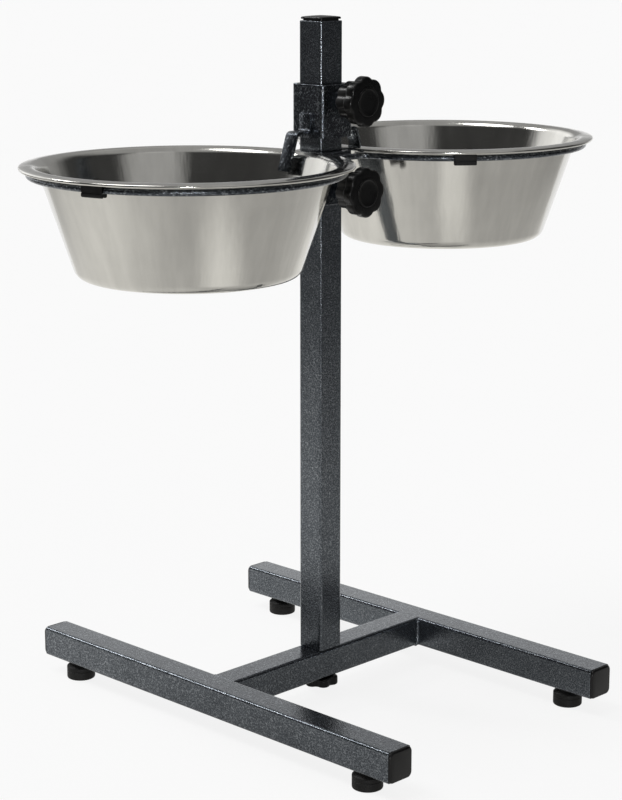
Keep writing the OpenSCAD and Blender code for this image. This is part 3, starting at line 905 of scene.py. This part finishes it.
def base_star_knob():
    """The smaller knob under the crossbar."""
    low, high = node_box("base_knob")
    bottom, top = low[2], high[2]
    neck = top - BASE_BOSS_H
    break_edge = 0.2
    dish = 0.5
    round_like = star_outline(*BASE_STAR)
    rounding = round_edge(BASE_HEAD_ROUND)
    socket = ((0.0, top - BASE_SOCKET), (BORE_R, top - BASE_SOCKET), (BORE_R, top))
    boss = ((BASE_BOSS_R - break_edge, top), (BASE_BOSS_R, top - break_edge), (BASE_BOSS_R, neck))
    hollow = ((8.4, bottom), (7.9, bottom + dish), (0.0, bottom + dish))
    rings = circle_rings(round_like, socket + boss)
    rings += star_rings(BASE_STAR, [(inset, neck - depth) for inset, depth in rounding])
    rings += star_rings(BASE_STAR, [(inset, bottom + depth) for inset, depth in reversed(rounding)])
    rings += circle_rings(round_like, hollow)
    mesh = mesh_of("base_star_knob", lofted(rings, capped=False))
    piece("base_star_knob", mesh, "base_knob", "black_plastic", KNOB_BLACK, "base_knob")


# Bowl carrier and bowls

def wire_path():
    """The closed run of the wire: round one bowl, past the sleeve, round the other and back."""
    low, high = node_box("carrier_sleeve")
    wire_y = (high[0] - low[0]) / 2 + WIRE_R
    reach = RING_R + BEND_R
    bend_x = BOWL_MIDDLE[0] - sqrt(reach ** 2 - (wire_y + BEND_R) ** 2)
    bend = degrees(asin((wire_y + BEND_R) / reach))
    ring = arc((BOWL_MIDDLE[0], 0), RING_R, 180 + bend, 540 - bend, RING_STEPS)
    bend_in = arc((bend_x, -wire_y - BEND_R), BEND_R, 90, bend)
    bend_out = arc((bend_x, wire_y + BEND_R), BEND_R, 360 - bend, 270)
    half = bend_in[:-1] + ring + bend_out[1:]
    other = [(-x, -y) for x, y in half]
    z = node_middle("bowl_frame")[2]
    return [(x, y + BOWL_MIDDLE[1], z) for x, y in half + other]


def bowl_frame():
    path = path_mesh("wire_path", [wire_path()], closes=True)
    sizes = {"Wire radius": WIRE_R / 1000, "Sides": WIRE_SIDES}
    mesh = grown("bowl_wire", path, bent_wire_tree(FLAKED_PAINT), sizes)
    piece("bowl_wire", mesh, "carrier", "hammered_paint", FLAKED_PAINT, "bowl_frame")


def rim_clips():
    """Rubber clips that grip the wire from above, with a groove along their outer face."""
    bottom, top = -5.5, 6.0
    half_w = 4.0
    opening = 2.6
    slit = 1.5
    foot_round = 1.5
    top_round = 0.6
    groove = 0.55
    gap = degrees(asin(slit / opening))
    section = [(-slit, bottom)]
    section += arc((-half_w + foot_round, bottom + foot_round), foot_round, 270, 180, 4)
    section += arc((-half_w + top_round, top - top_round), top_round, 180, 90, 3)
    section += arc((half_w - top_round, top - top_round), top_round, 90, 0, 3)
    section += [(half_w, -1.5), (half_w - groove, -1.8), (half_w - groove, -2.4), (half_w, -2.7)]
    section += arc((half_w - foot_round, bottom + foot_round), foot_round, 0, -90, 4)
    section += [(slit, bottom)]
    section += arc((0, 0), opening, -90 + gap, 270 - gap, 24)
    rings = []
    steps = 10
    half = degrees(CLIP_LEN / 2 / RING_R)
    for step in range(steps + 1):
        turn = radians(half * (2 * step / steps - 1))
        rings.append([((RING_R + u) * cos(turn), (RING_R + u) * sin(turn), v) for u, v in section])
    shape = eased(mesh_of("rim_clip", lofted(rings)), EDGE_BREAK, 75)
    z = node_middle("bowl_frame")[2]
    places = [((-BOWL_MIDDLE[0], BOWL_MIDDLE[1], z), turn) for turn in LEFT_CLIPS]
    places += [((BOWL_MIDDLE[0], BOWL_MIDDLE[1], z), turn) for turn in RIGHT_CLIPS]
    mesh = set_out("rim_clips", shape, places, RUBBER)
    nodes = [side + "_clip_" + str(index) for side in SIDES for index in (1, 2, 3)]
    piece("rim_clips", mesh, "carrier", "black_rubber", RUBBER, *nodes)


def bowl_profile(tall, rim_r):
    """The sheet from the middle of the floor up the inside, over the rim and down the outside."""
    slope = degrees(BOWL_SLOPE)
    inner_corner = BOWL_CORNER - BOWL_WALL
    normal = Vector((cos(BOWL_SLOPE), -sin(BOWL_SLOPE)))
    down = Vector((sin(BOWL_SLOPE), cos(BOWL_SLOPE)))
    turn_in = MOUTH_ROUND * (1 - sin(BOWL_SLOPE)) / cos(BOWL_SLOPE)
    mouth_at = Vector((MOUTH_R + turn_in, tall - MOUTH_ROUND))
    rise = tall - MOUTH_ROUND - BOWL_CORNER + (MOUTH_ROUND + inner_corner) * sin(BOWL_SLOPE)
    corner_at = mouth_at - (MOUTH_ROUND + inner_corner) * normal - rise / cos(BOWL_SLOPE) * down
    fall = radians(RIM_FALL)
    dome_r = (rim_r - BEAD_R - mouth_at.x) / sin(fall) + BEAD_R
    dome_at = Vector((mouth_at.x, tall - dome_r))
    bead_at = dome_at + (dome_r - BEAD_R) * Vector((sin(fall), cos(fall)))
    bead_end = -180 - RIM_FALL - degrees(asin((BEAD_R - BOWL_WALL) / BEAD_R))
    bead = arc(bead_at, BEAD_R, 90 - RIM_FALL, bead_end, 24)
    under = degrees(atan2(bead[-1][1] - dome_at.y, bead[-1][0] - dome_at.x))
    runs = [[(0, BOWL_WALL)],
            arc(corner_at, inner_corner, -90, -slope),
            arc(mouth_at, MOUTH_ROUND, 180 - slope, 90),
            arc(dome_at, dome_r, 90, 90 - RIM_FALL, 6)[1:],
            bead[1:],
            arc(dome_at, dome_r - BOWL_WALL, under, 90, 6)[1:-1],
            arc(mouth_at, MOUTH_ROUND - BOWL_WALL, 90, 180 - slope),
            arc(corner_at, BOWL_CORNER, -slope, -90),
            [(0, 0)]]
    profile = []
    for run in runs:
        if profile:
            profile += between(profile[-1], run[0])
        profile += run
    return profile


def between(first, last):
    """Points on a straight run of the sheet, with supports close to its ends."""
    shortest = 2.0
    spacing = 8.0
    support = 0.4
    span = dist(first, last)
    if span < shortest:
        return []
    count = max(int(span / spacing), 1)
    shares = [support / span] + [index / count for index in range(1, count)] + [1 - support / span]
    return [tuple(a + (b - a) * share for a, b in zip(first, last)) for share in shares]


def bowls():
    for side in SIDES:
        low, high = node_box(side + "_bowl")
        middle = node_middle(side + "_bowl")
        profile = bowl_profile(high[2] - low[2], (high[0] - low[0]) / 2)
        place = Matrix.Translation((middle[0], middle[1], low[2]))
        mesh = mesh_of(side + "_food_bowl", turned(profile, BOWL_STEPS), place, sharp=70)
        piece(side + "_food_bowl", mesh, side + "_bowl", "polished_steel", BOWL_STEEL, side + "_bowl")


# Bowl lock

def hooks():
    """Flat straps bent out from the sleeve, over the rims and down into the bowls."""
    strap_edge = 0.6
    for side, sign in (("left", -1), ("right", 1)):
        low, high = node_box(side + "_hook")
        sleeve_low, sleeve_high = node_box("lock_sleeve")
        rim_top = node_box(side + "_bowl")[1][2]
        hook_x = (sleeve_high[0] - sleeve_low[0]) / 2
        bridge = sleeve_low[2] + HOOK_BRIDGE
        mouth_x = BOWL_MIDDLE[0] - MOUTH_R
        outer = HOOK_BEND + HOOK_T
        slope = degrees(BOWL_SLOPE)
        lead = HOOK_CLEARANCE - HOOK_BEND - (bridge - HOOK_BEND - rim_top) * sin(BOWL_SLOPE)
        leg_bend = Vector((mouth_x + lead / cos(BOWL_SLOPE), bridge - HOOK_BEND))
        across = Vector((cos(BOWL_SLOPE), sin(BOWL_SLOPE)))
        along = Vector((sin(BOWL_SLOPE), -cos(BOWL_SLOPE)))
        leg_top = bridge - HOOK_BEND + HOOK_BEND * sin(BOWL_SLOPE)
        leg_len = (leg_top - rim_top + HOOK_DROP) / cos(BOWL_SLOPE)
        leg_end = leg_bend + HOOK_BEND * across + leg_len * along
        tab_bend = (hook_x + outer, bridge + outer)
        outline = [(hook_x, high[2])]
        outline += arc(tab_bend, outer, 180, 270, 8)
        outline += arc(leg_bend, HOOK_BEND, 90, slope, 8)
        outline += [tuple(leg_end), tuple(leg_end + HOOK_T * across)]
        outline += arc(leg_bend, outer, slope, 90, 8)
        outline += arc(tab_bend, HOOK_BEND, 270, 180, 8)
        outline += [(hook_x + HOOK_T, high[2])]
        rings = [[(sign * x, y, z) for x, z in outline] for y in (low[1], high[1])]
        mesh = eased(mesh_of(side + "_hook_strap", lofted(rings)), strap_edge)
        piece(side + "_hook_strap", mesh, "lock", "hammered_paint", FLAKED_PAINT, side + "_hook")


# Welds

def weld_piece(body, finish, bead, seams, drop, spacing, seed):
    """Beads of weld along open seams; drop radius and spacing in millimetres."""
    path = path_mesh(body + "_seams", seams, closes=False)
    sizes = {"Drop radius": drop / 1000, "Spacing": spacing / 1000, "Seed": seed}
    mesh = grown(body + "_welds", path, bead, sizes)
    piece(body + "_welds", mesh, body, "hammered_paint", finish)


def welds():
    """Welds at the ends of the crossbar, along the wire and round the hooks' tabs."""
    bead = weld_bead_tree(PAINT)
    low, high = node_box("crossbar")
    seams = []
    for x in (low[0] + 0.3, high[0] - 0.3):
        for y in (low[1] - 0.2, high[1] + 0.2):
            seams.append([(x, y, low[2] + 2.2), (x, y, high[2] - 2.6)])
        seams.append([(x, low[1] + 2, low[2] + 0.3), (x, high[1] - 2, low[2] + 0.3)])
    weld_piece("base", PAINT, bead, seams, drop=1.7, spacing=1.1, seed=3)
    low, high = node_box("carrier_sleeve")
    z = node_middle("bowl_frame")[2]
    half_len = 12
    seams = []
    for y in (low[1] - 0.7, high[1] + 0.7):
        for lift in (-1.9, 1.9):
            seams.append([(-half_len, y, z + lift), (half_len, y, z + lift)])
    weld_piece("carrier", FLAKED_PAINT, bead, seams, drop=1.2, spacing=1.0, seed=5)
    low, high = node_box("lock_sleeve")
    hook_low, hook_high = node_box("left_hook")
    seams = []
    for x in (low[0] - 0.3, high[0] + 0.3):
        for y in (hook_low[1] - 0.2, hook_high[1] + 0.2):
            seams.append([(x, y, low[2] + 9), (x, y, hook_high[2] - 0.5)])
        seams.append([(x, hook_low[1], hook_high[2]), (x, hook_high[1], hook_high[2])])
    weld_piece("lock", FLAKED_PAINT, bead, seams, drop=0.7, spacing=1.2, seed=8)


base_tubes()
end_caps()
feet()
post_lid()
sleeves()
weld_nuts()
knob_screws()
sleeve_knobs()
base_star_knob()
bowl_frame()
rim_clips()
bowls()
hooks()
welds()

# The threaded plug stays as it is, inside the post
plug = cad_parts["post_plug"]
plug.data.materials.clear()
plug.data.materials.append(PLATE)


# Floor, light and camera

def flat_sheet(name, corners, material):
    """A mesh with one face, in metres."""
    mesh = bpy.data.meshes.new(name)
    mesh.from_pydata(corners, [], [(0, 1, 2, 3)])
    mesh.materials.append(material)
    return mesh


def studio_floor():
    """A white table, bright to the left and behind, whose light falls off into a dim room."""
    camera_share = 0.86
    mirror_share = 0.85
    reach = 40.0
    material, tree = new_finish("pale_floor")
    rays = tree.rays("Is Camera Ray")
    mirrored = rays.other("Is Glossy Ray") + rays.other("Is Transmission Ray")
    at = tree.object_point()
    parts = tree.split(at)
    x = parts.other("X")
    y = parts.other("Y")
    # Levels of the white that shiny pieces mirror, by places on the floor in metres
    away = (x * x + y * y) ** 0.5
    behind = tree.fit(y, -0.45, 0.35, 0.5, 1.0)
    near = tree.smooth(away, 0.55, 2.3, 1.0, 0.03)
    # Painted highlight: a bright patch of sheen on the table in front of the feeder, which shiny pieces
    # mirror
    sheen_x = (x + 0.21) * 0.65
    sheen_y = y + 0.45
    sheen = tree.smooth((sheen_x * sheen_x + sheen_y * sheen_y) ** 0.5, 0.03, 0.19, 0.5, 0.0)
    # Painted shade: the white that shiny pieces mirror is darker under and close around the feeder
    under = tree.smooth(away, 0.08, 0.3, 0.5, 1.0)
    beyond = tree.smooth((x * 0.71 + y * 0.7) / (away + 0.01), 0.6, 0.9)
    level = behind * near * under + sheen
    level = level + (1.0 - level) * beyond
    tone = tree.mix(tree.noise(at, 3.0), grey(0.86), grey(0.9))
    matt = tree.node("ShaderNodeBsdfDiffuse", {}, {"Color": tone})
    white = tree.node("ShaderNodeEmission", {}, {"Color": grey(1.0), "Strength": 1.0})
    table = tree.node("ShaderNodeEmission", {}, {"Color": grey(1.0, 1.0, 0.985, 0.95), "Strength": level})
    shown = tree.node("ShaderNodeMixShader", {}, {0: rays * camera_share, 1: matt, 2: white})
    shown = tree.node("ShaderNodeMixShader", {}, {0: mirrored * mirror_share, 1: shown, 2: table})
    tree.node("ShaderNodeOutputMaterial", {}, {"Surface": shown})
    corners = [(-reach, -reach, 0), (reach, -reach, 0), (reach, reach, 0), (-reach, reach, 0)]
    mesh = flat_sheet("studio_floor", corners, material)
    host_of(mesh)


def white_card():
    """A low white card behind the feeder, which only the shiny pieces show."""
    top = 0.62
    fade_from = 0.48
    fade_to = 0.4
    material, tree = new_finish("white_card")
    mirrored = tree.rays("Is Glossy Ray")
    height = tree.split(tree.object_point(), "Z")
    clear = tree.node("ShaderNodeBsdfTransparent")
    level = tree.smooth(height, fade_from, top, 1.0, fade_to)
    white = tree.node("ShaderNodeEmission", {}, {"Color": grey(1.0), "Strength": level})
    shown = tree.node("ShaderNodeMixShader", {}, {0: mirrored, 1: clear, 2: white})
    tree.node("ShaderNodeOutputMaterial", {}, {"Surface": shown})
    left = (0.78 - 0.7, 0.77 + 0.71)
    right = (0.78 + 0.7, 0.77 - 0.71)
    corners = [(*left, 0), (*right, 0), (*right, top), (*left, top)]
    mesh = flat_sheet("white_card", corners, material)
    host_of(mesh)


def studio_light():
    """A dim room with a bright window behind on the left, a ceiling light and a soft box by the camera."""
    world = bpy.data.worlds.new("studio")
    world.use_nodes = True
    bpy.context.scene.world = world
    tree = Tree(world.node_tree)
    rays = tree.rays("Is Camera Ray")
    through = rays.other("Is Transmission Ray")
    way = tree.node("ShaderNodeTexCoord", output="Generated")

    def toward(x, y, z, low, high, level):
        """A soft bright field; low and high are the cosines at its rim and at its full level."""
        aim = Vector((x, y, z)).normalized()
        facing = tree.node("ShaderNodeVectorMath", {"operation": "DOT_PRODUCT"}, {0: way, 1: aim}, "Value")
        return tree.smooth(facing, low, high, 0.0, level)

    backdrop = toward(0.71, 0.7, 0.0, 0.4, 0.8, 0.3)
    window = toward(-0.045, 0.99, 0.14, 0.76, 0.94, 1.0)
    ceiling = toward(0.0, 0.0, 1.0, 0.6, 0.85, 0.35)
    soft_box = toward(-0.17, -0.86, 0.48, 0.86, 0.975, 0.42)
    dim = 0.05
    level = backdrop + window + ceiling + soft_box + dim
    light = tree.node("ShaderNodeBackground", {}, {"Color": grey(1.0), "Strength": level})
    white = tree.node("ShaderNodeBackground", {}, {"Color": grey(1.0), "Strength": 1.0})
    shown = tree.node("ShaderNodeMixShader", {}, {0: rays + through, 1: light, 2: white})
    tree.node("ShaderNodeOutputWorld", {}, {"Surface": shown})
    for name, strength, spread, aim in (
            ("key_light", 1.0, 30, (-0.4, 0.25, 1.0)),
            ("left_light", 0.6, 14, (-0.3, 0.9, 0.8)),
            ("edge_light", 0.9, 8, (-0.78, -0.86, 0.04))):
        lamp = bpy.data.lights.new(name, "SUN")
        lamp.energy = strength
        lamp.angle = radians(spread)
        made = placed(name, lamp)
        made.rotation_euler = Vector(aim).to_track_quat("Z", "Y").to_euler()


def camera():
    """The camera that was fitted to the view; its place is in metres."""
    place = (-1.2277, -1.1976, 0.6517)
    lens = bpy.data.cameras.new("camera")
    lens.lens = 96.4
    lens.sensor_width = 36.0
    lens.clip_end = 200.0
    made = placed("camera", lens)
    turn = radians(-45.45)
    tilt = radians(13.11)
    back = Vector((sin(turn) * cos(tilt), -cos(turn) * cos(tilt), sin(tilt)))
    right = Vector((cos(turn), sin(turn), 0.0))
    axes = Matrix((right, back.cross(right), back)).transposed()
    made.matrix_world = Matrix.Translation(place) @ axes.to_4x4()
    bpy.context.scene.camera = made


studio_floor()
white_card()
studio_light()
camera()
bpy.context.scene.view_settings.view_transform = "Standard"
